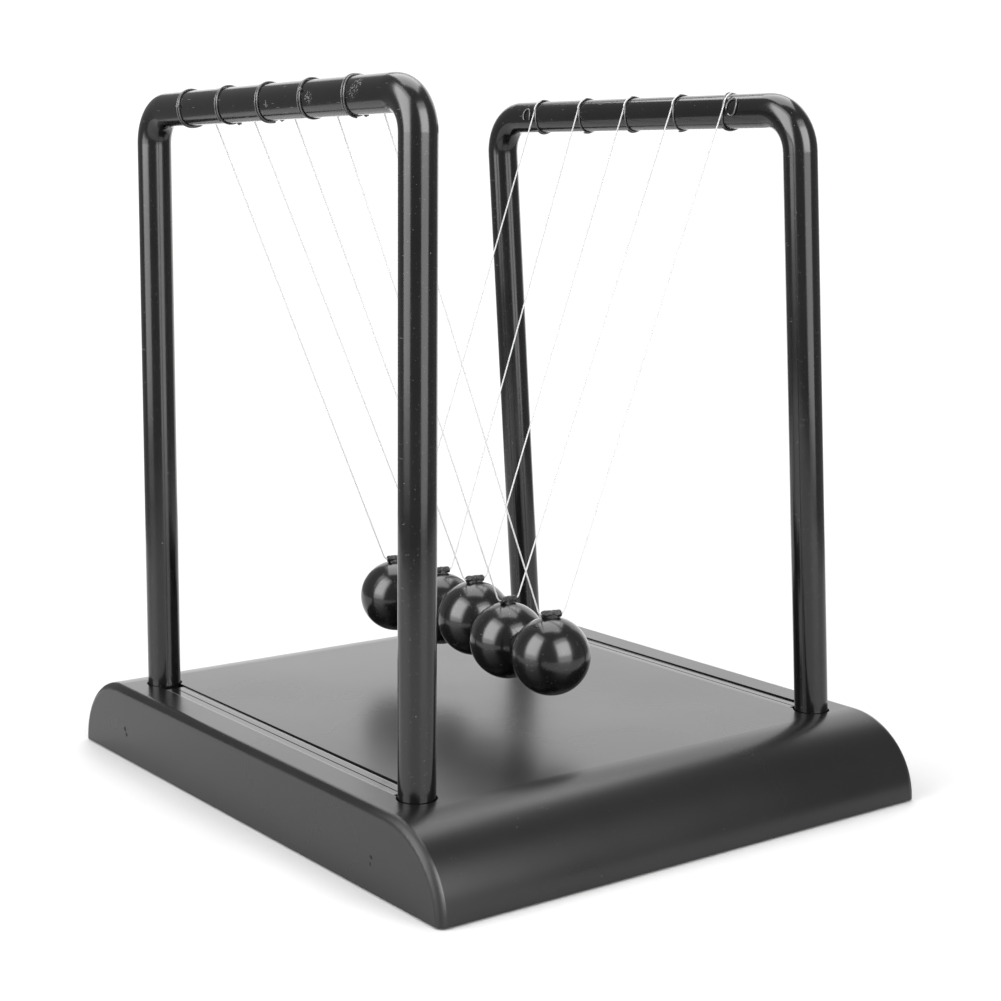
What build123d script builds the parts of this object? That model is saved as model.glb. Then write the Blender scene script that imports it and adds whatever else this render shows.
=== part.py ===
from build123d import *
import math
import os

os.makedirs("parts", exist_ok=True)

# Newton's cradle. Millimetres, +Z up, origin on the ground under the middle of the base.
# +X runs along the row of balls, +Y from the left frame to the right frame.

# ---- driving dimensions -----------------------------------------------------------
# base
BASE_LENGTH = 178.0
BASE_WIDTH = 150.0
RIM_LIFT = 0.5            # the rim clears the ground by this much, on the foot pads
BODY_HEIGHT = 19.9        # rim to top surface
SHOULDER = 21.0           # horizontal run of each quarter-ellipse end
EDGE_RADIUS = 2.0
WALL = 2.2

# frames
LEG_SPACING = 125.0       # centre to centre of one frame's legs, along X
FRAME_SPACING = 126.0     # centre to centre of the two frames at the base top, along Y
BAR_HEIGHT = 176.7        # nominal height of the top bars' axes above the ground
BAR_RISE = {"left": (-0.6, 0.6), "right": (0.35, -0.3)}   # each bar's -X and +X end, off that
TUBE_RADIUS = 4.4
TUBE_WALL = 0.8
BEND_RADIUS = {"left": 8.8, "right": 10.5}   # centreline of the upper bends
LEFT_LEAN = 0.3           # inward lean of each frame, degrees
RIGHT_LEAN = 3.9

# leg sockets and their fasteners
SOCKET_DEPTH = 10.4
SOCKET_CLEARANCE = 0.4
SOCKET_FLOOR = 2.5
BOSS_RADIUS = 7.0
INSERT_LENGTH = 9.0
LEG_SCREW_RADIUS = 1.5
LEG_SCREW_LENGTH = 9.5
LEG_SCREW_HEAD_RADIUS = 2.75
LEG_SCREW_HEAD = 2.0
WASHER_RADIUS = 4.0
WASHER_HOLE_RADIUS = 1.7
WASHER_THICKNESS = 0.8
HEX_ACROSS_CORNERS_RADIUS = 1.15

# inlay channels and strips
CHANNEL_WIDTH = 6.0
CHANNEL_DEPTH = 1.5
STRIP_WIDTH = 5.2
STRIP_THICKNESS = 1.1
STRIP_LENGTH = 113.0
STRIP_SKEW = 0.3          # degrees, a strip lies slightly askew in its channel
CREASE_WIDTH = 0.35
CREASE_DEPTH = 0.3
RIB_WIDTH = 9.0
RIB_HEIGHT = 1.4

# bottom plate, its screws and the foot pads
PLATE_LIFT = 1.7
PLATE_THICKNESS = 1.8
PLATE_CLEARANCE = 0.3
PLATE_TAPER = 0.6         # the shell's ends narrow this much up to the plate's top
POST_X = 42.0
POST_Y = 48.0
POST_RADIUS = 3.4
COVER_SCREW_RADIUS = 1.1
COVER_SCREW_LENGTH = 9.0  # depth of its hole in the post
COVER_SCREW_RELIEF = 1.0  # the screw stops this far short of the hole's end
COVER_SCREW_HEAD_RADIUS = 2.3
COVER_SCREW_HEAD = 1.1
COVER_SCREW_RECESS = 0.5
COVER_SCREW_SLOT = 2.6
COVER_SCREW_BLADE = 0.6
PAD_X = 74.0
PAD_Y = 58.0
PAD_RADIUS = 6.0

# pendulums
BALL_RADIUS = 10.0
BALL_GAP = 0.2            # free play between neighbouring balls
BALL_HEIGHT = 41.0        # nominal height of the ball centres
ROW_SHIFT = -0.4          # the row's middle, along X
BALL_SIDE = (-0.7, 0.9, -1.8, -5.4, -6.9)   # the hand-tied balls hang a little out of line
BALL_RISE = (0.2, -0.1, 1.2, -0.5, -0.4)
HANGER_RADIUS = 0.95
HANGER_BORE = 0.4
HANGER_LENGTH = 5.2
HANGER_RISE = 0.75        # axis of the hanger tube above the top of the ball
NECK_RADIUS = 0.8
NECK_DEPTH = 1.6
STRING_RADIUS = 0.2
STRING_BEND = 0.8
STRING_LEAD = 0.65        # the string bends this far outside each end of its hanger
TIE_OFFSET = 0.6          # first turn of a tie, beside its strand
TIE_PITCH = 0.9
TIE_TURNS = 2
TIE_GAP = 0.03            # the turns lie this far off the tube
KNOT_RADIUS = 0.6
KNOT_ANGLE = 20.0         # degrees above level, on the bar's outer side

# ---- derived values ---------------------------------------------------------------
TOP = RIM_LIFT + BODY_HEIGHT
COUNT = len(BALL_SIDE)
SIDES = {"left": -1, "right": 1}
LEAN = {"left": math.radians(LEFT_LEAN), "right": math.radians(RIGHT_LEAN)}
ENDS = (-1, 1)
INNER_RADIUS = TUBE_RADIUS - TUBE_WALL
PLATE_TOP = PLATE_LIFT + PLATE_THICKNESS
POST_POINTS = [(x * POST_X, y * POST_Y) for x in ENDS for y in ENDS]


def save(part, name):
    """Label one finished piece and write its STEP file."""
    part.label = name
    export_step(part, f"parts/{name}.step")


def leg_direction(side):
    """Unit vector up a leg of one frame."""
    lean = LEAN[side]
    return Vector(0, -SIDES[side] * math.sin(lean), math.cos(lean))


def bar_point(side, x):
    """The point of a top bar's axis at x; the bars aren't quite level."""
    low, high = BAR_RISE[side]
    z = BAR_HEIGHT + (low + high) / 2 + (high - low) * x / LEG_SPACING
    run = (z - TOP) * math.tan(LEAN[side])
    return Vector(x, SIDES[side] * (FRAME_SPACING / 2 - run), z)


def leg_plane(side, end, along):
    """Plane square to a leg, at a distance along it from the base's top surface."""
    hole = Vector(end * LEG_SPACING / 2, SIDES[side] * FRAME_SPACING / 2, TOP)
    up = leg_direction(side)
    return Plane(origin=hole + up * along, x_dir=(1, 0, 0), z_dir=up)


LEGS = [(side, end) for side in SIDES for end in ENDS]


def end_profile(half_length, height, run):
    """Side view of the base: flat top, quarter-ellipse ends and a flat underside."""
    flat = half_length - run
    Line((-half_length, 0), (half_length, 0))
    EllipticalCenterArc((flat, 0), run, height, start_angle=0, arc_size=90)
    Line((flat, height), (-flat, height))
    EllipticalCenterArc((-flat, 0), run, height, start_angle=90, arc_size=90)


# ---- base shell -------------------------------------------------------------------
side_view = Plane(origin=(0, 0, RIM_LIFT), x_dir=(1, 0, 0), z_dir=(0, -1, 0))
with BuildPart() as base_shell:
    with BuildSketch(side_view):
        with BuildLine():
            end_profile(BASE_LENGTH / 2, BODY_HEIGHT, SHOULDER)
        make_face()
    extrude(amount=BASE_WIDTH / 2, both=True)
    end_faces = base_shell.faces().filter_by(Axis.Y)
    upper_edges = end_faces.edges().filter_by(lambda e: e.center().Z > RIM_LIFT + 1)
    fillet(upper_edges, radius=EDGE_RADIUS)
    with BuildSketch(side_view):
        with BuildLine():
            end_profile(BASE_LENGTH / 2 - WALL, BODY_HEIGHT - WALL, SHOULDER - WALL)
        make_face()
    extrude(amount=BASE_WIDTH / 2 - WALL, both=True, mode=Mode.SUBTRACT)
    # ribs under the two inlay channels
    with BuildSketch(Plane.XY.offset(TOP - WALL - RIB_HEIGHT)):
        with Locations(*[(0, s * FRAME_SPACING / 2) for s in ENDS]):
            Rectangle(LEG_SPACING, RIB_WIDTH)
    extrude(amount=RIB_HEIGHT + WALL / 2)
    # posts that take the bottom plate's screws
    with BuildSketch(Plane.XY.offset(PLATE_TOP)):
        with Locations(*POST_POINTS):
            Circle(POST_RADIUS)
    extrude(amount=TOP - WALL / 2 - PLATE_TOP)
    with BuildSketch(Plane.XY.offset(PLATE_TOP)):
        with Locations(*POST_POINTS):
            Circle(COVER_SCREW_RADIUS)
    extrude(amount=COVER_SCREW_LENGTH, mode=Mode.SUBTRACT)
    # sockets for the four legs
    for side, end in LEGS:
        with BuildSketch(leg_plane(side, end, -SOCKET_DEPTH - SOCKET_FLOOR)):
            Circle(BOSS_RADIUS)
        extrude(amount=SOCKET_DEPTH + SOCKET_FLOOR - WALL / 2)
        with BuildSketch(leg_plane(side, end, -SOCKET_DEPTH)):
            Circle(TUBE_RADIUS + SOCKET_CLEARANCE)
        extrude(amount=SOCKET_DEPTH + WALL, mode=Mode.SUBTRACT)
        with BuildSketch(leg_plane(side, end, -SOCKET_DEPTH - SOCKET_FLOOR)):
            Circle(WASHER_HOLE_RADIUS)
        extrude(amount=SOCKET_FLOOR, mode=Mode.SUBTRACT)
    # inlay channels, from socket to socket
    with BuildSketch(Plane.XY.offset(TOP - CHANNEL_DEPTH)):
        with Locations(*[(0, s * FRAME_SPACING / 2) for s in ENDS]):
            Rectangle(LEG_SPACING, CHANNEL_WIDTH)
    extrude(amount=CHANNEL_DEPTH, mode=Mode.SUBTRACT)
save(base_shell.part, "base_shell")


# ---- inlay strips: glossy, with a crease along the middle -------------------------
def inlay_strip(side):
    s = SIDES[side]
    centre = (0, s * FRAME_SPACING / 2, TOP - CHANNEL_DEPTH)
    floor_plane = Plane(origin=centre).rotated((0, 0, -STRIP_SKEW))
    with BuildPart() as strip:
        with BuildSketch(floor_plane):
            Rectangle(STRIP_LENGTH, STRIP_WIDTH)
        extrude(amount=STRIP_THICKNESS)
        with BuildSketch(floor_plane.offset(STRIP_THICKNESS - CREASE_DEPTH)):
            Rectangle(STRIP_LENGTH, CREASE_WIDTH)
        extrude(amount=CREASE_DEPTH, mode=Mode.SUBTRACT)
    return strip.part


for side in SIDES:
    save(inlay_strip(side), f"{side}_inlay_strip")


# ---- frames: one bent tube each, an inverted U ------------------------------------
def frame(side):
    up = leg_direction(side)
    hole_line = (0, SIDES[side] * FRAME_SPACING / 2, TOP)
    frame_plane = Plane(origin=hole_line, x_dir=(1, 0, 0), z_dir=Vector(1, 0, 0).cross(up))
    half = LEG_SPACING / 2
    low, high = [(BAR_HEIGHT + rise - TOP) / math.cos(LEAN[side]) for rise in BAR_RISE[side]]
    with BuildPart() as tube:
        with BuildLine(frame_plane) as path:
            FilletPolyline(
                (-half, -SOCKET_DEPTH), (-half, low), (half, high), (half, -SOCKET_DEPTH),
                radius=BEND_RADIUS[side],
            )
        with BuildSketch(Plane(origin=path.line @ 0, z_dir=path.line % 0)):
            Circle(TUBE_RADIUS)
            Circle(INNER_RADIUS, mode=Mode.SUBTRACT)
        sweep(path=path.line)
    return tube.part


for side in SIDES:
    save(frame(side), f"{side}_frame")


# ---- threaded inserts pressed into the legs ---------------------------------------
def leg_insert(side, end):
    with BuildPart() as insert:
        with BuildSketch(leg_plane(side, end, -SOCKET_DEPTH)):
            Circle(INNER_RADIUS)
            Circle(LEG_SCREW_RADIUS, mode=Mode.SUBTRACT)
        extrude(amount=INSERT_LENGTH)
    return insert.part


for number, (side, end) in enumerate(LEGS, start=1):
    save(leg_insert(side, end), f"leg_insert_{number}")

# ---- washers and screws that hold the legs from below -----------------------------
with BuildPart() as leg_washers:
    for side, end in LEGS:
        with BuildSketch(leg_plane(side, end, -SOCKET_DEPTH - SOCKET_FLOOR)):
            Circle(WASHER_RADIUS)
            Circle(WASHER_HOLE_RADIUS, mode=Mode.SUBTRACT)
        extrude(amount=-WASHER_THICKNESS)
save(leg_washers.part, "leg_washers")

HEAD_TOP = -SOCKET_DEPTH - SOCKET_FLOOR - WASHER_THICKNESS
with BuildPart() as leg_screws:
    for side, end in LEGS:
        with BuildSketch(leg_plane(side, end, HEAD_TOP)):
            Circle(LEG_SCREW_HEAD_RADIUS)
        extrude(amount=-LEG_SCREW_HEAD)
        with BuildSketch(leg_plane(side, end, HEAD_TOP)):
            Circle(LEG_SCREW_RADIUS)
        extrude(amount=LEG_SCREW_LENGTH)
        with BuildSketch(leg_plane(side, end, HEAD_TOP - LEG_SCREW_HEAD)):
            RegularPolygon(HEX_ACROSS_CORNERS_RADIUS, 6)
        extrude(amount=LEG_SCREW_HEAD / 2, mode=Mode.SUBTRACT)
save(leg_screws.part, "leg_screws")

# ---- bottom plate, its screws and the foot pads -----------------------------------
with BuildPart() as base_bottom_plate:
    with BuildSketch(Plane.XY.offset(PLATE_LIFT)):
        inset = WALL + PLATE_CLEARANCE
        RectangleRounded(BASE_LENGTH - 2 * inset - PLATE_TAPER, BASE_WIDTH - 2 * inset, EDGE_RADIUS)
        with Locations(*POST_POINTS):
            Circle(COVER_SCREW_RADIUS, mode=Mode.SUBTRACT)
    extrude(amount=PLATE_THICKNESS)
save(base_bottom_plate.part, "base_bottom_plate")

with BuildPart() as cover_screws:
    with BuildSketch(Plane.XY.offset(PLATE_LIFT - COVER_SCREW_HEAD)):
        with Locations(*POST_POINTS):
            Circle(COVER_SCREW_HEAD_RADIUS)
    extrude(amount=COVER_SCREW_HEAD)
    with BuildSketch(Plane.XY.offset(PLATE_LIFT)):
        with Locations(*POST_POINTS):
            Circle(COVER_SCREW_RADIUS)
    extrude(amount=PLATE_THICKNESS + COVER_SCREW_LENGTH - COVER_SCREW_RELIEF)
    with BuildSketch(Plane.XY.offset(PLATE_LIFT - COVER_SCREW_HEAD)):
        with Locations(*POST_POINTS):
            Rectangle(COVER_SCREW_SLOT, COVER_SCREW_BLADE)
            Rectangle(COVER_SCREW_BLADE, COVER_SCREW_SLOT)
    extrude(amount=COVER_SCREW_RECESS, mode=Mode.SUBTRACT)
save(cover_screws.part, "cover_screws")


def foot_pad(x, y):
    with BuildPart() as pad:
        with BuildSketch():
            with Locations((x, y)):
                Circle(PAD_RADIUS)
        extrude(amount=PLATE_LIFT)
    return pad.part


for number, (sx, sy) in enumerate([(x, y) for x in ENDS for y in ENDS], start=1):
    save(foot_pad(sx * PAD_X, sy * PAD_Y), f"foot_pad_{number}")


# ---- pendulums --------------------------------------------------------------------
def ball_centres():
    """Ball centres: each ball hangs BALL_GAP clear of the one before it."""
    xs = [0.0]
    for k in range(1, COUNT):
        across = BALL_SIDE[k] - BALL_SIDE[k - 1]
        up = BALL_RISE[k] - BALL_RISE[k - 1]
        xs.append(xs[-1] + math.sqrt((2 * BALL_RADIUS + BALL_GAP) ** 2 - across**2 - up**2))
    first = ROW_SHIFT - xs[-1] / 2
    return [
        Vector(first + xs[k], BALL_SIDE[k], BALL_HEIGHT + BALL_RISE[k]) for k in range(COUNT)
    ]


def strand(centre, side):
    """Where a strand leaves its hanger, and where it touches the bar, as Y and Z."""
    s = SIDES[side]
    low_y = centre.Y + s * (HANGER_LENGTH / 2 + STRING_LEAD)
    low_z = centre.Z + BALL_RADIUS + HANGER_RISE
    reach = TUBE_RADIUS + STRING_RADIUS
    bar = bar_point(side, centre.X)
    dy = s * (bar.Y - low_y)
    dz = bar.Z - low_z
    lean = math.atan2(dy, dz) - math.asin(reach / math.hypot(dy, dz))
    touch_y = bar.Y - s * reach * math.cos(lean)
    touch_z = bar.Z + reach * math.sin(lean)
    return (low_y, low_z), (touch_y, touch_z)


def hanger_plane(centre):
    """The plane across a hanger's tube, at its middle."""
    return Plane(origin=centre + Vector(0, 0, BALL_RADIUS + HANGER_RISE), z_dir=(0, 1, 0))


def ball(centre):
    """A ball with a seat for the hanger's tube and a blind hole for its neck."""
    with BuildPart() as sphere:
        with Locations(centre):
            Sphere(BALL_RADIUS)
        with BuildSketch(Plane(origin=centre + Vector(0, 0, BALL_RADIUS - NECK_DEPTH))):
            Circle(NECK_RADIUS)
        extrude(amount=2 * NECK_DEPTH, mode=Mode.SUBTRACT)
        with BuildSketch(hanger_plane(centre)):
            Circle(HANGER_RADIUS)
        extrude(amount=HANGER_LENGTH / 2, both=True, mode=Mode.SUBTRACT)
    return sphere.part


def hanger(centre):
    """A short cross tube on a neck; the string runs through the tube."""
    across = hanger_plane(centre)
    with BuildPart() as tube:
        with BuildSketch(across):
            Circle(HANGER_RADIUS)
        extrude(amount=HANGER_LENGTH / 2, both=True)
        with BuildSketch(Plane(origin=centre + Vector(0, 0, BALL_RADIUS - NECK_DEPTH))):
            Circle(NECK_RADIUS)
        extrude(amount=NECK_DEPTH + HANGER_RISE)
        with BuildSketch(across):
            Circle(HANGER_BORE)
        extrude(amount=HANGER_LENGTH / 2, both=True, mode=Mode.SUBTRACT)
    return tube.part


def string(centre):
    """One cord: down from the left bar, through the hanger and up to the right bar."""
    (low_left, low_z), left_top = strand(centre, "left")
    (low_right, _), right_top = strand(centre, "right")
    plane = Plane(origin=(centre.X, 0, 0), x_dir=(0, 1, 0), z_dir=(1, 0, 0))
    with BuildPart() as cord:
        with BuildLine(plane) as path:
            FilletPolyline(
                left_top, (low_left, low_z), (low_right, low_z), right_top, radius=STRING_BEND
            )
        with BuildSketch(Plane(origin=path.line @ 0, z_dir=path.line % 0)):
            Circle(STRING_RADIUS)
        sweep(path=path.line)
    return cord.part


def tie(centre, side, step):
    """The string's turns round the bar, locked by a knot on the bar's outer side."""
    radius = TUBE_RADIUS + STRING_RADIUS + TIE_GAP
    middle = TIE_OFFSET + TIE_PITCH / 2
    angle = math.radians(KNOT_ANGLE)
    reach = TUBE_RADIUS + TIE_GAP + KNOT_RADIUS
    outward = Vector(0, SIDES[side] * math.cos(angle), math.sin(angle))
    with BuildPart() as turns:
        for turn in range(TIE_TURNS):
            x = centre.X + step * (TIE_OFFSET + turn * TIE_PITCH)
            with Locations(Location(bar_point(side, x), (0, 90, 0))):
                Torus(radius, STRING_RADIUS)
        with Locations(bar_point(side, centre.X + step * middle) + outward * reach):
            Sphere(KNOT_RADIUS)
    return turns.part


for number, centre in enumerate(ball_centres(), start=1):
    save(ball(centre), f"ball_{number}")
    save(hanger(centre), f"ball_hanger_{number}")
    save(string(centre), f"string_{number}")
    step = -1 if number == COUNT else 1
    for side in SIDES:
        save(tie(centre, side, step), f"string_tie_{side}_{number}")
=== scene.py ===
import math

import bmesh
import bpy
import numpy as np
from mathutils import Matrix, Vector, noise


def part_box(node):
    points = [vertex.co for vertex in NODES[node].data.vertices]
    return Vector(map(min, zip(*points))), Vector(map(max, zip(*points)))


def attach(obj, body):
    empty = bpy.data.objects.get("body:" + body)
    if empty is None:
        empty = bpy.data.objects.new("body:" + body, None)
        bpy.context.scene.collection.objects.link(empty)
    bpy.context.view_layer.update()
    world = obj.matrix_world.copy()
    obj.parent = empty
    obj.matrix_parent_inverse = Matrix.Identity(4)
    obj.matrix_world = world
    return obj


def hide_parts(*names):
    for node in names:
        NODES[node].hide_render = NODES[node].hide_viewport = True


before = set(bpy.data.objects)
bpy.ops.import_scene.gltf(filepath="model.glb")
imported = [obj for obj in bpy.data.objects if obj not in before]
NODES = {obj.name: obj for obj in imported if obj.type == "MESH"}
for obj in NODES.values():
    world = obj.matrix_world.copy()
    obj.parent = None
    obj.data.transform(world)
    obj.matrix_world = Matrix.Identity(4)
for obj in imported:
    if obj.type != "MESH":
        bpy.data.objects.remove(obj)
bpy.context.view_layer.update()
SCENE = bpy.context.scene
MM = 0.001
TUBE_RADIUS = 4.4 * MM
TIE_REACH = 4.83 * MM     # a tie's outside, from the bar's axis
# small chips in the -Y face: x, y, z, half width, half height (mm)
CHIPS = (
    (-62.9, -75.0, 9.0, 0.65, 0.65),
    (-62.1, -75.0, 7.6, 0.60, 0.55),
    (62.0, -75.0, 8.8, 0.65, 0.48),
    (61.6, -75.0, 7.1, 0.30, 0.55),
)
CHIP_DEPTH = 0.6
CHIP_EDGE = (1.15, 0.85)     # a chip's mark runs from 0 to 1 here, in shares of its size
# wear on the base's end edges, in mm from its middle: none at the first number, full at the last
WORN_TOWARDS_SIDE = (73.1, 73.9)
WORN_OFF_FACE = (74.95, 74.7)
WORN_TOWARDS_END = (60, 72)
# dried glue: tie, distance along the bar (mm), angle above level (degrees), radius (mm)
RESIDUE = ((5, 5.4, 24, 1.1), (5, 4.4, 2, 0.7), (4, 3.6, -2, 0.9), (3, 3.8, -10, 0.5))
INLAY_PAINTED_HIGHLIGHT = (1.9, 2.4)      # the strip's painted edge highlight begins and is full here, in mm from its middle
# a smear's ends: where a slow noise is taken as 0 and as 1
LOW, HIGH = 0.3, 0.7
SMOOTHER, ROUGHER = 0.8, 1.3     # how far a smear takes the roughness down and up
DOT_CORE = 0.6               # a dot is whole inside this share of its size
STRETCH = 16.0               # a scratch's length, in widths


# ---- materials --------------------------------------------------------------------
class Shader:
    """One node material, with short calls for the nodes it is made of."""

    def __init__(self, name, **inputs):
        self.material = bpy.data.materials.new(name)
        self.material.use_nodes = True
        self.tree = self.material.node_tree
        self.surface = self.tree.nodes["Principled BSDF"]
        for key, value in inputs.items():
            self.surface.inputs[key.replace("_", " ")].default_value = value
        coordinates = self.add("ShaderNodeTexCoord")
        self.place = coordinates.outputs["Object"]

    def add(self, kind, **settings):
        node = self.tree.nodes.new(kind)
        for key, value in settings.items():
            setattr(node, key, value)
        return node

    def link(self, source, target):
        self.tree.links.new(source, target)

    def noise(self, scale, detail=3.0, rough=0.5, place=None):
        node = self.add("ShaderNodeTexNoise")
        node.inputs["Scale"].default_value = scale
        node.inputs["Detail"].default_value = detail
        node.inputs["Roughness"].default_value = rough
        self.link(place or self.place, node.inputs["Vector"])
        return node.outputs["Fac"]

    def cells(self, scale, place=None):
        """The distance to the middle of the nearest cell."""
        node = self.add("ShaderNodeTexVoronoi")
        node.inputs["Scale"].default_value = scale
        self.link(place or self.place, node.inputs["Vector"])
        return node.outputs["Distance"]

    def spread(self, source, low, high, to_low=0.0, to_high=1.0):
        """Takes low to to_low and high to to_high, and holds them outside."""
        node = self.add("ShaderNodeMapRange")
        node.inputs["From Min"].default_value = low
        node.inputs["From Max"].default_value = high
        node.inputs["To Min"].default_value = to_low
        node.inputs["To Max"].default_value = to_high
        self.link(source, node.inputs["Value"])
        return node.outputs["Result"]

    def maths(self, operation, a, b):
        node = self.add("ShaderNodeMath", operation=operation)
        for socket, value in zip(node.inputs, (a, b)):
            if isinstance(value, (int, float)):
                socket.default_value = value
            else:
                self.link(value, socket)
        return node.outputs["Value"]

    def mixed(self, factor, a, b):
        """Colour a where factor is 0, colour b where it is 1."""
        node = self.add("ShaderNodeMix", data_type="RGBA")
        self.link(factor, node.inputs["Factor"])
        for socket, value in zip((node.inputs["A"], node.inputs["B"]), (a, b)):
            if isinstance(value, tuple):
                socket.default_value = value
            else:
                self.link(value, socket)
        return node.outputs["Result"]

    def bump(self, height, distance, strength):
        node = self.add("ShaderNodeBump")
        node.inputs["Distance"].default_value = distance
        node.inputs["Strength"].default_value = strength
        self.link(height, node.inputs["Height"])
        return node.outputs["Normal"]

    def feed(self, **sources):
        for key, source in sources.items():
            self.link(source, self.surface.inputs[key.replace("_", " ")])


def grey(value):
    return (value, value, value, 1.0)


def spot(s, centre, radius):
    """1 within radius of a point, falling to 0 at twice the radius."""
    node = s.add("ShaderNodeVectorMath", operation="DISTANCE")
    s.link(s.place, node.inputs[0])
    node.inputs[1].default_value = centre
    return s.spread(node.outputs["Value"], 2 * radius, radius)


def specks(s, scale, size, rarity):
    """Small scattered dots: a cell's middle, in the few cells that a slow noise picks."""
    dots = s.spread(s.cells(scale), size, size * DOT_CORE)
    places = s.spread(s.noise(scale * 0.4, 0), rarity, rarity + 0.01)
    return s.maths("MULTIPLY", dots, places)


def scratches(s, scale, size, rarity, turn):
    """Short thin lines in one direction: dots that are narrowed across it."""
    node = s.add("ShaderNodeMapping")
    node.inputs["Rotation"].default_value = turn
    node.inputs["Scale"].default_value = (1.0, STRETCH, STRETCH)
    s.link(s.place, node.inputs["Vector"])
    place = node.outputs["Vector"]
    dots = s.spread(s.cells(scale, place), size, size * DOT_CORE)
    places = s.spread(s.noise(scale * 0.6, 0, place=place), rarity, rarity + 0.01)
    return s.maths("MULTIPLY", dots, places)


def chip(s, centre, size):
    """1 inside a small ellipsoid round a point."""
    node = s.add("ShaderNodeMapping")
    node.inputs["Scale"].default_value = [1 / length for length in size]
    node.inputs["Location"].default_value = [-place / length for place, length in zip(centre, size)]
    s.link(s.place, node.inputs["Vector"])
    distance = s.add("ShaderNodeVectorMath", operation="LENGTH")
    s.link(node.outputs["Vector"], distance.inputs[0])
    return s.spread(distance.outputs["Value"], *CHIP_EDGE)


def smeared(s, smear, rough):
    """A roughness that varies round its middle value with a smear."""
    return s.spread(smear, LOW, HIGH, rough * SMOOTHER, rough * ROUGHER)


def within(s, distance, band):
    """0 at a band's first number and 1 at its last, both in mm."""
    return s.spread(distance, band[0] * MM, band[1] * MM)


def from_middle(s, axis, middle=0.0):
    """The distance along one axis from the planes at middle and at -middle."""
    at = s.add("ShaderNodeSeparateXYZ")
    s.link(s.place, at.inputs["Vector"])
    distance = s.maths("ABSOLUTE", at.outputs[axis], 0.0)
    if middle:
        distance = s.maths("ABSOLUTE", s.maths("SUBTRACT", distance, middle), 0.0)
    return distance


def base_plastic():
    """Moulded black plastic with dust, chips in one side and worn end edges."""
    s = Shader("base_plastic", IOR=1.45)
    blotch = s.noise(18, 4)
    grain = s.noise(2600, 2)
    dust = s.maths("ADD", specks(s, 330, 0.06, 0.66), specks(s, 900, 0.09, 0.66))
    chips = None
    for x, y, z, width, height in CHIPS:
        mark = chip(s, (x * MM, y * MM, z * MM), (width * MM, CHIP_DEPTH * MM, height * MM))
        chips = mark if chips is None else s.maths("MAXIMUM", chips, mark)
    across = from_middle(s, "Y")
    near_side = within(s, across, WORN_TOWARDS_SIDE)
    off_face = within(s, across, WORN_OFF_FACE)
    at_end = within(s, from_middle(s, "X"), WORN_TOWARDS_END)
    worn = s.maths("MULTIPLY", s.maths("MULTIPLY", near_side, off_face), at_end)
    rough = s.maths("ADD", s.spread(blotch, LOW, HIGH, 0.24, 0.30), s.maths("MULTIPLY", chips, 0.7))
    s.feed(
        Base_Color=s.mixed(dust, s.mixed(blotch, grey(0.0025), grey(0.0045)), grey(0.06)),
        Roughness=s.maths("ADD", rough, s.maths("MULTIPLY", worn, 0.22)),
        Normal=s.bump(s.maths("SUBTRACT", grain, s.maths("MULTIPLY", chips, 12.0)), 0.00002, 0.5),
    )
    return s.material


def lacquer(name, ior, rough, peel, dust_rarity, extra=None):
    """Black lacquer with an uneven surface, dust, scratches and any extra marks."""
    s = Shader(name, IOR=ior)
    smear = s.noise(45, 4)
    large, small = specks(s, 480, 0.09, dust_rarity), specks(s, 1300, 0.12, dust_rarity - 0.02)
    lines = s.maths(
        "ADD",
        scratches(s, 150, 0.16, 0.66, (0.3, 0.5, 0.9)),
        scratches(s, 120, 0.14, 0.68, (1.3, 0.2, 2.1)),
    )
    marks = s.maths("ADD", s.maths("ADD", large, small), lines)
    if extra:
        marks = s.maths("ADD", marks, extra(s))
    height = s.maths("SUBTRACT", s.noise(300, 2), s.maths("MULTIPLY", lines, 0.5))
    s.feed(
        Base_Color=s.mixed(marks, s.mixed(smear, grey(0.002), grey(0.004)), grey(0.11)),
        Roughness=smeared(s, smear, rough),
        Normal=s.bump(height, 0.00003, peel),
    )
    return s.material


def residue(s):
    """Dried glue beside three of the left bar's ties, in small flakes."""
    flakes = s.spread(s.noise(2400, 2, 0.6), 0.55, 0.62, 0.0, 2.2)
    places = None
    for number, along, angle, radius in RESIDUE:
        low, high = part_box(f"string_tie_left_{number}")
        turn = math.radians(angle)
        centre = (
            (low.x + high.x) / 2 + along * MM,
            high.y - TIE_REACH - TUBE_RADIUS * math.cos(turn),
            (low.z + high.z) / 2 + TUBE_RADIUS * math.sin(turn),
        )
        place = spot(s, centre, radius * MM)
        places = place if places is None else s.maths("MAXIMUM", places, place)
    return s.maths("MULTIPLY", flakes, places)


def inlay_gloss():
    """Glossy strip, with a painted highlight along its two edges."""
    s = Shader("inlay_gloss", IOR=1.5)
    smear = s.noise(40, 4)
    low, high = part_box("right_inlay_strip")
    # painted highlight: a paler colour along the strip's two edges stands in for the light they
    # catch
    painted_highlight = within(s, from_middle(s, "Y", (low.y + high.y) / 2), INLAY_PAINTED_HIGHLIGHT)
    s.feed(
        Base_Color=s.mixed(painted_highlight, s.mixed(smear, grey(0.004), grey(0.008)), grey(0.13)),
        Roughness=s.spread(smear, LOW, HIGH, 0.08, 0.125),
        Normal=s.bump(s.noise(220, 3), 0.00004, 0.4),
    )
    return s.material


def metal(name, colour, rough):
    """Bare metal, a little darker in its smears."""
    s = Shader(name, Metallic=1.0)
    smear = s.noise(300, 4)
    s.feed(
        Base_Color=s.mixed(smear, tuple(0.8 * c for c in colour[:3]) + (1.0,), colour),
        Roughness=smeared(s, smear, rough),
        Normal=s.bump(s.noise(1500, 3), 0.00002, 0.5),
    )
    return s.material


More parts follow.
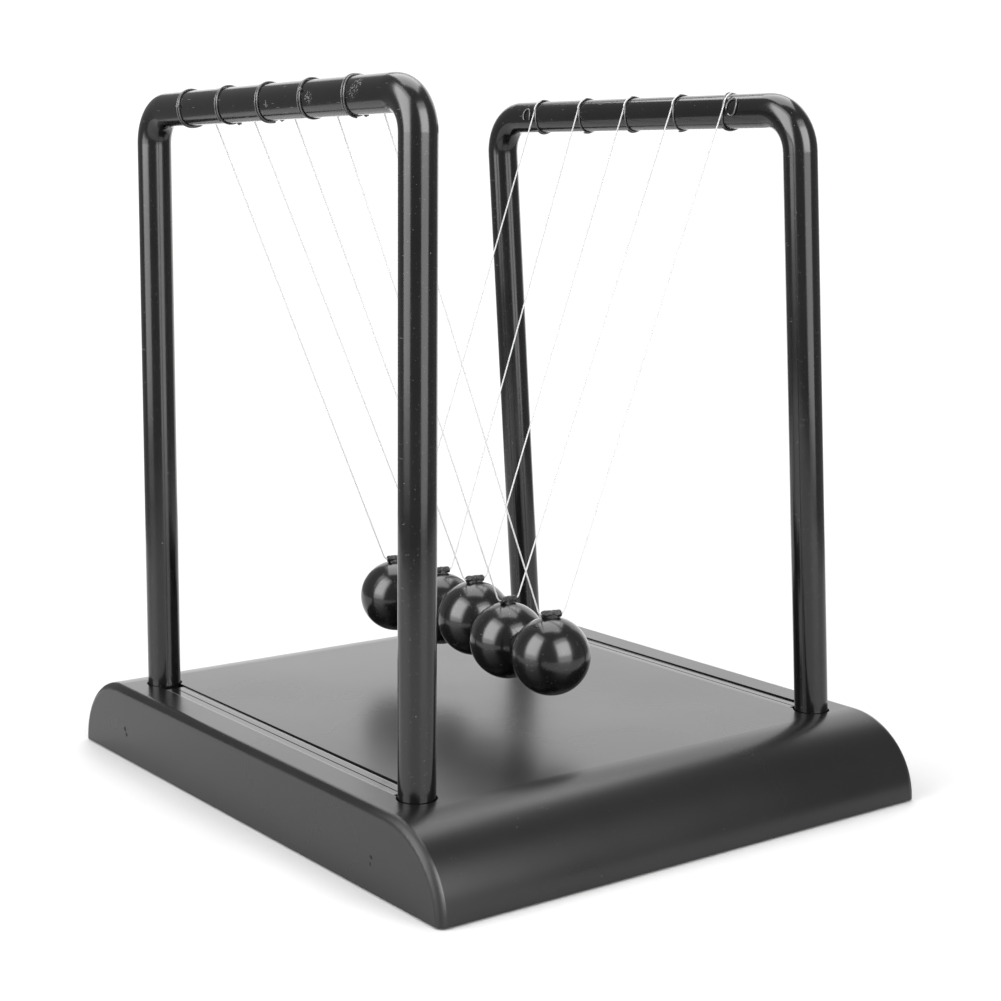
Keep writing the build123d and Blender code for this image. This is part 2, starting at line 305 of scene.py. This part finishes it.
def rough_black(name, dark, grain_scale, depth, smoothest=0.5):
    """Grainy black: plastic, foam or painted solder."""
    s = Shader(name, IOR=1.45)
    grain = s.noise(grain_scale, 4)
    s.feed(
        Base_Color=s.mixed(grain, grey(dark * 0.6), grey(dark * 1.6)),
        Roughness=s.spread(grain, LOW, HIGH, smoothest, smoothest + 0.25),
        Normal=s.bump(grain, depth, 0.8),
    )
    return s.material


def nylon(name, low, high, clear, rough):
    """Cord: its grey runs from low to high, and clear is its share of clear material."""
    s = Shader(name, IOR=1.53, Transmission_Weight=clear)
    cloud = s.noise(900, 3)
    s.feed(
        Base_Color=s.mixed(cloud, grey(low), grey(high)),
        Roughness=smeared(s, cloud, rough),
    )
    return s.material


FINISH = {
    "base_plastic": base_plastic(),
    "plate_plastic": rough_black("plate_plastic", 0.02, 1500, 0.00004),
    "inlay_gloss": inlay_gloss(),
    "frame_lacquer": lacquer("frame_lacquer", 1.49, 0.16, 0.30, 0.74, residue),
    "insert_brass": metal("insert_brass", (0.72, 0.52, 0.24, 1.0), 0.3),
    "fastener_steel": metal("fastener_steel", (0.55, 0.55, 0.56, 1.0), 0.28),
    "pad_foam": rough_black("pad_foam", 0.03, 900, 0.00012),
    "hanger_black": rough_black("hanger_black", 0.003, 2600, 0.0003, 0.2),
    "ball_lacquer": lacquer("ball_lacquer", 1.5, 0.17, 0.30, 0.64),
    "string_nylon": nylon("string_nylon", 0.40, 0.48, 0.25, 0.35),
    "tie_nylon": nylon("tie_nylon", 0.04, 0.10, 0.0, 0.13),
}


# the first key that is in a node's name gives its finish
NODE_SLOT = {
    "base_shell": "base_plastic",
    "base_bottom_plate": "plate_plastic",
    "inlay": "inlay_gloss",
    "frame": "frame_lacquer",
    "leg_insert": "insert_brass",
    "leg_screws": "fastener_steel",
    "leg_washers": "fastener_steel",
    "cover_screws": "fastener_steel",
    "foot_pad": "pad_foam",
    "ball_hanger": "hanger_black",
    "ball_": "ball_lacquer",
    "string": "string_nylon",
}
for node_name, node in NODES.items():
    key = next(key for key in NODE_SLOT if key in node_name)
    node.data.materials.clear()
    node.data.materials.append(FINISH[NODE_SLOT[key]])


# ---- cords ------------------------------------------------------------------------
COUNT = 5
SIDES = {"left": -1, "right": 1}
STRING_RADIUS = 0.2 * MM
HANGER_LENGTH = 5.2 * MM
HANGER_RADIUS = 0.95 * MM
BORE_RADIUS = 0.4 * MM
HANGER_TURN = (14, 8, 9, -4, 18)     # degrees about the vertical
CORD_SIDES = 12
END_SIZE, END_INSET = 0.75, 0.3      # a cord's end narrows to this, over this, in radii
LEAD = 0.65 * MM          # a cord bends this far outside its hanger's mouth
# the bend: where it begins and tightens on the strand, then its share of the way from
# the corner to the mouth and its height there
BEND_BEGIN = 2.4 * MM
BEND_TIGHT = 0.9 * MM
BEND_SHARE = 0.45
BEND_RISE = 0.16 * MM
BEND_STEPS = 6
RISE_ANGLE = {"left": 20, "right": 72}     # how far up its bar a strand runs, in degrees
RISE_LIFT = 0.42 * MM                # it lies on top of the tie's first turn
RISE_SHARES = (0.18, 0.35, 0.55, 0.75, 0.95)
RISE_EASE = 0.25                     # the lift is whole after this share of the way
# turns round the bar from its inner side, offset along the bar, lift off it (mm)
WRAP = (
    (0.00, 0.00, 0.00),
    (0.08, 0.12, 0.16),
    (0.15, 0.45, 0.38),
    (0.25, 0.85, 0.20),
    (0.50, 1.05, 0.03),
    (0.75, 1.10, 0.03),
    (0.90, 0.85, 0.03),
    (1.00, 0.62, 0.03),
    (1.15, 0.40, 0.03),
    (1.25, 0.25, 0.03),
    (1.50, 0.10, 0.03),
    (1.62, 0.25, 0.12),
    (1.75, 0.55, 0.30),
    (1.86, 1.10, 0.45),
)
WRAP_POINTS = 90
WRAP_EASE = 0.125      # the first point lies on the bar; the lift is as in WRAP after this turn
FLATTEN = 1.8 * MM     # the turns bow: their tops and bottoms lie this far back along the bar
TAIL_TURNS = {"left": (1.84, 1.66, 1.80, 1.62, 1.76), "right": (1.86, 1.80, 1.84, 1.78, 1.86)}
KNOT_SIZE = 0.42 * MM
KNOT_SHIFT = 1.0 * MM     # along the bar, from the strand
KNOT_POINTS = 48
KNOT_SHARE = 0.97         # the knot's ends do not meet
KNOT_ANGLE = {"left": (176, 292, 300, 157, 296), "right": (200, 200, 200, 200, 200)}
CURL_LIFT = 0.12 * MM
CURL_WIDTH = 0.8
CURL_POINTS = 40
# shift along the bar and angle on the bar, size, start and end of the loop (mm and degrees)
CURLS = {("right", 1): (-3.4, 4, 1.9, -40, 215), ("right", 5): (2.9, 14, 2.2, -130, 200)}


def add_object(name, mesh, finishes, body, replaced):
    """Puts a finished mesh in the scene, on its body, with its finishes."""
    thing = bpy.data.objects.new(name, mesh)
    SCENE.collection.objects.link(thing)
    for face in mesh.polygons:
        face.use_smooth = True
    for finish in finishes:
        mesh.materials.append(FINISH[finish])
    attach(thing, body)
    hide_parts(*replaced)


def sweep(line, radius):
    """Vertices and faces of a round tube along a line of points, with narrowed ends."""
    line = [Vector(point) for point in line]
    steps = [(b - a).normalized() for a, b in zip(line, line[1:])]
    start, end = steps[0], steps[-1]
    middle = [(a + b).normalized() for a, b in zip(steps, steps[1:])]
    tangents = [start, start] + middle + [end, end]
    inner_start = line[0] + start * radius * END_INSET
    inner_end = line[-1] - end * radius * END_INSET
    line = [line[0], inner_start] + line[1:-1] + [inner_end, line[-1]]
    sizes = [END_SIZE] + [1.0] * (len(line) - 2) + [END_SIZE]
    normal = start.orthogonal().normalized()
    vertices, faces = [], []
    for point, tangent, size in zip(line, tangents, sizes):
        normal = (normal - tangent * normal.dot(tangent)).normalized()
        other = tangent.cross(normal)
        for i in range(CORD_SIDES):
            angle = 2 * math.pi * i / CORD_SIDES
            spoke = math.cos(angle) * normal + math.sin(angle) * other
            vertices.append(point + spoke * radius * size)
    for ring in range(len(line) - 1):
        for i in range(CORD_SIDES):
            j = (i + 1) % CORD_SIDES
            a, b = ring * CORD_SIDES, (ring + 1) * CORD_SIDES
            faces.append((a + i, a + j, b + j, b + i))
    faces.append(tuple(reversed(range(CORD_SIDES))))
    faces.append(tuple(range(len(vertices) - CORD_SIDES, len(vertices))))
    return vertices, faces


def tubes(name, runs, body, replaced):
    """One object made of round tubes. A run is a line and the name of its finish."""
    finishes = sorted({finish for _, finish in runs})
    made = bmesh.new()
    for line, finish in runs:
        vertices, faces = sweep(line, STRING_RADIUS)
        placed = [made.verts.new(v) for v in vertices]
        for face in faces:
            made.faces.new([placed[i] for i in face]).material_index = finishes.index(finish)
    made.normal_update()
    mesh = bpy.data.meshes.new(name)
    made.to_mesh(mesh)
    made.free()
    add_object(name, mesh, finishes, body, replaced)


def smooth_line(points, steps):
    """Points along a curve through all the given points (Catmull-Rom)."""
    p = [Vector(v) for v in points]
    p = [2 * p[0] - p[1]] + p + [2 * p[-1] - p[-2]]
    found = []
    for a, b, c, d in zip(p, p[1:], p[2:], p[3:]):
        for i in range(steps):
            t = i / steps
            bend = 2 * a - 5 * b + 4 * c - d
            twist = 3 * b - a - 3 * c + d
            found.append(0.5 * (2 * b + (c - a) * t + bend * t**2 + twist * t**3))
    return found + [p[-2]]


def bar_at(side, number):
    """Y and Z of the bar's axis at one tie, from the tie's box."""
    low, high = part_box(f"string_tie_{side}_{number}")
    y = high.y - TIE_REACH if side == "left" else low.y + TIE_REACH
    return y, (low.z + high.z) / 2


# the boxes are measured once, because every point of a tie needs its bar
BARS = {(side, number): bar_at(side, number) for side in SIDES for number in range(1, COUNT + 1)}


def on_bar(side, number, x, angle, reach):
    """A point off a bar's axis. The angle is 0 on its inner side and a quarter turn on top."""
    bar_y, bar_z = BARS[side, number]
    across = SIDES[side] * reach * math.cos(angle)
    return Vector((x, bar_y - across, bar_z + reach * math.sin(angle)))


def hanger_axis(number):
    """The middle of a hanger's tube and the direction it lies in."""
    low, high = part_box(f"ball_hanger_{number}")
    turn = math.radians(HANGER_TURN[number - 1])
    middle = Vector(((low.x + high.x) / 2, (low.y + high.y) / 2, high.z - HANGER_RADIUS))
    return middle, Vector((math.sin(turn), math.cos(turn), 0))


def strand(number, side):
    """A strand's low corner, its touching point on the bar and the angle of that point."""
    s = SIDES[side]
    middle, along = hanger_axis(number)
    low = middle + along * s * (HANGER_LENGTH / 2 + LEAD)
    bar_y, bar_z = BARS[side, number]
    reach = TUBE_RADIUS + STRING_RADIUS
    across, rise = s * (bar_y - low.y), bar_z - low.z
    lean = math.atan2(across, rise) - math.asin(reach / math.hypot(across, rise))
    return low, on_bar(side, number, middle.x, lean, reach), lean


def rise_line(number, side):
    """A strand above its touching point, up the bar towards the first turn's crown."""
    _, touch, lean = strand(number, side)
    line = [touch]
    for share in RISE_SHARES:
        angle = lean + (math.radians(RISE_ANGLE[side]) - lean) * share
        reach = TUBE_RADIUS + STRING_RADIUS + RISE_LIFT * min(share / RISE_EASE, 1.0)
        line.append(on_bar(side, number, touch.x, angle, reach))
    return line


def string_line(number):
    """Down from the left bar, through the hanger and up to the right bar."""
    middle, along = hanger_axis(number)
    half = []
    for side in ("left", "right"):
        low, touch, _ = strand(number, side)
        up_run = (touch - low).normalized()
        mouth = middle + along * SIDES[side] * HANGER_LENGTH / 2
        inner = low.lerp(mouth, BEND_SHARE) + up_run * BEND_RISE
        bend = [low + up_run * BEND_BEGIN, low + up_run * BEND_TIGHT, inner, mouth]
        half.append([touch] + smooth_line(bend, BEND_STEPS))
    return half[0] + half[1][::-1]


def wrap_line(number, side):
    """A tie's line: from the strand's touching point, nearly two turns round the bar."""
    step = -1 if number == COUNT else 1
    _, touch, lean = strand(number, side)
    turns, offsets, lifts = (np.array(column) for column in zip(*WRAP))
    start = lean / (2 * math.pi)
    first_offset, first_lift = np.interp(start, turns, offsets), np.interp(start, turns, lifts)
    line = []
    for turn in np.linspace(start, TAIL_TURNS[side][number - 1], WRAP_POINTS):
        angle = 2 * math.pi * turn
        back = FLATTEN * (math.sin(angle) ** 2 - math.sin(2 * math.pi * start) ** 2)
        offset = float(np.interp(turn, turns, offsets) - first_offset) * MM - step * back
        eased = max(0.0, 1 - (turn - start) / WRAP_EASE)
        lift = float(np.interp(turn, turns, lifts) - first_lift * eased) * MM
        reach = TUBE_RADIUS + STRING_RADIUS + max(lift, 0.0)
        line.append(on_bar(side, number, touch.x + step * offset, angle, reach))
    return relaxed(line, rounds=3)


def relaxed(line, rounds):
    """The same line with its corners eased."""
    for _ in range(rounds):
        middle = [(a + 2 * b + c) / 4 for a, b, c in zip(line, line[1:], line[2:])]
        line = [line[0]] + middle + [line[-1]]
    return line


def knot_line(centre, outward, size):
    """A small overhand knot that lies flat against the bar."""
    side_way = Vector((1, 0, 0))
    upward = outward.cross(side_way)
    line = []
    for i in range(KNOT_POINTS + 1):
        t = 2 * math.pi * i / KNOT_POINTS * KNOT_SHARE
        x = (math.sin(t) + 2 * math.sin(2 * t)) / 3
        y = (math.cos(t) - 2 * math.cos(2 * t)) / 3
        z = -math.sin(3 * t) / 2.4
        line.append(centre + size * (x * side_way + y * upward + z * outward))
    return line


def curl_line(number, side):
    """A loose end that lies on the bar as a loop or a hook."""
    shift, middle_angle, size, start, end = CURLS[side, number]
    touch = strand(number, side)[1]
    reach = TUBE_RADIUS + STRING_RADIUS + CURL_LIFT
    line = []
    for t in np.radians(np.linspace(start, end, CURL_POINTS)):
        angle = math.radians(middle_angle) + size * MM * math.sin(t) / TUBE_RADIUS
        x = touch.x + (shift + CURL_WIDTH * size * math.cos(t)) * MM
        line.append(on_bar(side, number, x, angle, reach))
    return line


for number in range(1, COUNT + 1):
    cord = [(string_line(number), "string_nylon")]
    tubes(f"cord_{number}", cord, f"pendulum_{number}", [f"string_{number}"])
    step = -1 if number == COUNT else 1
    for side, s in SIDES.items():
        bar_y, bar_z = BARS[side, number]
        angle = math.radians(KNOT_ANGLE[side][number - 1])
        outward = Vector((0, -s * math.cos(angle), math.sin(angle)))
        knot_x = strand(number, side)[1].x + step * KNOT_SHIFT
        centre = Vector((knot_x, bar_y, bar_z)) + outward * (TUBE_RADIUS + KNOT_SIZE)
        runs = [
            (rise_line(number, side), "string_nylon"),
            (wrap_line(number, side), "tie_nylon"),
            (knot_line(centre, outward, KNOT_SIZE), "tie_nylon"),
        ]
        if (side, number) in CURLS:
            runs.append((curl_line(number, side), "tie_nylon"))
        tie = f"tie_{side}_{number}"
        tubes(tie, runs, "cradle", [f"string_{tie}"])


# ---- hangers: a short tube soldered to the ball, rough all over --------------------
HANGER_SIDES = 24
# the tube's outline: share of its length from the middle, radius
HANGER_OUTLINE = (
    (-0.50, BORE_RADIUS),
    (-0.50, 0.62 * HANGER_RADIUS),
    (-0.475, 0.88 * HANGER_RADIUS),
    (-0.42, HANGER_RADIUS),
    (0.0, 0.97 * HANGER_RADIUS),
    (0.42, HANGER_RADIUS),
    (0.475, 0.88 * HANGER_RADIUS),
    (0.50, 0.62 * HANGER_RADIUS),
    (0.50, BORE_RADIUS),
    (0.0, BORE_RADIUS),
)
# height above the ball's top, reach along the tube and across it (mm)
SOLDER = (
    (-0.9, 0.9, 0.6),
    (-0.32, 2.1, 1.45),
    (-0.05, 2.15, 1.25),
    (0.30, 1.9, 0.95),
    (0.55, 1.4, 0.8),
    (0.8, 0.7, 0.5),
)
VOXEL = 0.11 * MM
LUMP_DEPTH = 0.13 * MM
LUMPS_PER_METRE = 1500
LUMP_SHIFT = 7.3          # each hanger takes its own part of the noise
LUMP_NOISE = (0.9, 2.1, 3)     # how fast the finer lumps weaken, their step in size, layers


def joined(made, rings):
    """Faces between each ring of vertices and the next."""
    for a, b in zip(rings, rings[1:]):
        for i in range(HANGER_SIDES):
            j = (i + 1) % HANGER_SIDES
            made.faces.new((a[i], a[j], b[j], b[i]))


def hanger_form(number):
    """The bored tube and the solder under it, as two closed forms that overlap."""
    middle, along = hanger_axis(number)
    upward = Vector((0, 0, 1))
    sideways = along.cross(upward)
    ball_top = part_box(f"ball_{number}")[1].z
    angles = [2 * math.pi * i / HANGER_SIDES for i in range(HANGER_SIDES)]
    made = bmesh.new()
    tube = []
    for share, radius in HANGER_OUTLINE:
        centre = middle + along * share * HANGER_LENGTH
        spokes = [math.cos(angle) * sideways + math.sin(angle) * upward for angle in angles]
        tube.append([made.verts.new(centre + spoke * radius) for spoke in spokes])
    joined(made, tube + tube[:1])
    neck = []
    for rise, reach, side_reach in SOLDER:
        centre = Vector((middle.x, middle.y, ball_top + rise * MM))
        ring = []
        for angle in angles:
            slow, quick = math.sin(3 * angle + number * 2.1), math.sin(5 * angle + number)
            wave = 1 + 0.16 * slow + 0.10 * quick
            out_along = math.cos(angle) * along * reach * wave
            out_across = math.sin(angle) * sideways * side_reach * wave
            ring.append(made.verts.new(centre + (out_along + out_across) * MM))
        neck.append(ring)
    joined(made, neck)
    made.faces.new(neck[0][::-1])
    made.faces.new(neck[-1])
    bmesh.ops.recalc_face_normals(made, faces=made.faces)
    mesh = bpy.data.meshes.new(f"hanger_{number}")
    made.to_mesh(mesh)
    made.free()
    return mesh


def rough_hanger(number):
    """Merges a hanger's forms into one skin, then makes it lumpy."""
    scratch = bpy.data.objects.new("scratch", hanger_form(number))
    SCENE.collection.objects.link(scratch)
    remesh = scratch.modifiers.new("remesh", "REMESH")
    remesh.mode = "VOXEL"
    remesh.voxel_size = VOXEL
    smooth = scratch.modifiers.new("smooth", "SMOOTH")
    smooth.iterations = 2
    merged = scratch.evaluated_get(bpy.context.evaluated_depsgraph_get())
    skin = bpy.data.meshes.new_from_object(merged)
    bpy.data.objects.remove(scratch)
    skin.name = f"hanger_{number}_rough"
    skin.update()
    normals = [vertex.normal.copy() for vertex in skin.vertices]
    for vertex, normal in zip(skin.vertices, normals):
        place = vertex.co * LUMPS_PER_METRE + Vector((number * LUMP_SHIFT, 0, 0))
        vertex.co += normal * noise.fractal(place, *LUMP_NOISE) * LUMP_DEPTH
    body, cad_node = f"pendulum_{number}", f"ball_hanger_{number}"
    add_object(f"hanger_{number}", skin, ["hanger_black"], body, [cad_node])


for number in range(1, COUNT + 1):
    rough_hanger(number)


# ---- floor, light, camera ---------------------------------------------------------
FLOOR_RADIUS = 0.42
FLOOR_SIDES = 128
AIM = Vector((0, 0, 0.08))     # what the softboxes point at
WORLD_LIGHT = 0.35
WORLD_SEEN = 1.1               # as the camera sees it, so that it is plain white
AZIMUTH, ELEVATION, ROLL = 52.830, 9.004, 0.356
CAMERA_PLACE = (0.4088, -0.2962, 0.1580)
LENS, SENSOR = 68.90, 36.0
SHIFT = (-0.0218, -0.0143)
CLIP = (0.01, 50.0)

floor_mesh = bpy.data.meshes.new("floor")
floor_form = bmesh.new()
bmesh.ops.create_circle(floor_form, cap_ends=True, segments=FLOOR_SIDES, radius=FLOOR_RADIUS)
floor_form.to_mesh(floor_mesh)
floor_form.free()
floor = bpy.data.objects.new("floor", floor_mesh)
SCENE.collection.objects.link(floor)
floor_paint = Shader("floor", Roughness=0.6, Specular_IOR_Level=0.2)
floor_paint.feed(Base_Color=floor_paint.mixed(floor_paint.noise(30), grey(0.42), grey(0.46)))
floor_mesh.materials.append(floor_paint.material)


def outward_at(azimuth, elevation):
    """The direction from the object to something at these angles, in degrees."""
    a, e = math.radians(azimuth), math.radians(elevation)
    return Vector((math.sin(a) * math.cos(e), -math.cos(a) * math.cos(e), math.sin(e)))


def softbox(name, azimuth, elevation, distance, size, radiance):
    """A soft rectangular light aimed at the object."""
    back = outward_at(azimuth, elevation)
    light = bpy.data.lights.new(name, "AREA")
    light.shape = "RECTANGLE"
    light.size, light.size_y = size
    light.energy = radiance * math.pi * size[0] * size[1]
    lamp = bpy.data.objects.new(name, light)
    lamp.location = AIM + back * distance
    lamp.rotation_mode = "QUATERNION"
    lamp.rotation_quaternion = (-back).to_track_quat("-Z", "Y")
    lamp.visible_camera = False
    SCENE.collection.objects.link(lamp)


softbox("left_wide", -7, 28, 1.0, (0.86, 1.32), 4.2)
softbox("left_core", -8, 29, 1.0, (0.68, 0.85), 4.4)
softbox("right_wide", 93, 23, 1.0, (0.79, 1.26), 3.7)
softbox("right_core", 93, 26, 0.98, (0.68, 0.64), 5.6)
softbox("overhead", 233, 70, 1.0, (0.80, 0.95), 4.2)
softbox("backdrop", 223, 14, 0.9, (1.15, 0.90), 1.31)

world = bpy.data.worlds.new("studio")
world.use_nodes = True
world_nodes, world_links = world.node_tree.nodes, world.node_tree.links
seen = world_nodes.new("ShaderNodeLightPath").outputs["Is Camera Ray"]
strength = world_nodes.new("ShaderNodeMapRange")
strength.inputs["To Min"].default_value = WORLD_LIGHT
strength.inputs["To Max"].default_value = WORLD_SEEN
world_links.new(seen, strength.inputs["Value"])
world_nodes["Background"].inputs["Color"].default_value = grey(1.0)
world_links.new(strength.outputs["Result"], world_nodes["Background"].inputs["Strength"])
SCENE.world = world
SCENE.view_settings.view_transform = "Standard"

back = outward_at(AZIMUTH, ELEVATION)
right = Vector((math.cos(math.radians(AZIMUTH)), math.sin(math.radians(AZIMUTH)), 0))
up = back.cross(right)
roll = math.radians(ROLL)
axis_x = math.cos(roll) * right + math.sin(roll) * up
axis_y = -math.sin(roll) * right + math.cos(roll) * up
turned = Matrix((axis_x, axis_y, back)).transposed().to_4x4()
camera_data = bpy.data.cameras.new("camera")
camera_data.sensor_width = SENSOR
camera_data.lens = LENS
camera_data.shift_x, camera_data.shift_y = SHIFT
camera_data.clip_start, camera_data.clip_end = CLIP
camera = bpy.data.objects.new("camera", camera_data)
SCENE.collection.objects.link(camera)
camera.matrix_world = Matrix.Translation(CAMERA_PLACE) @ turned
SCENE.camera = camera
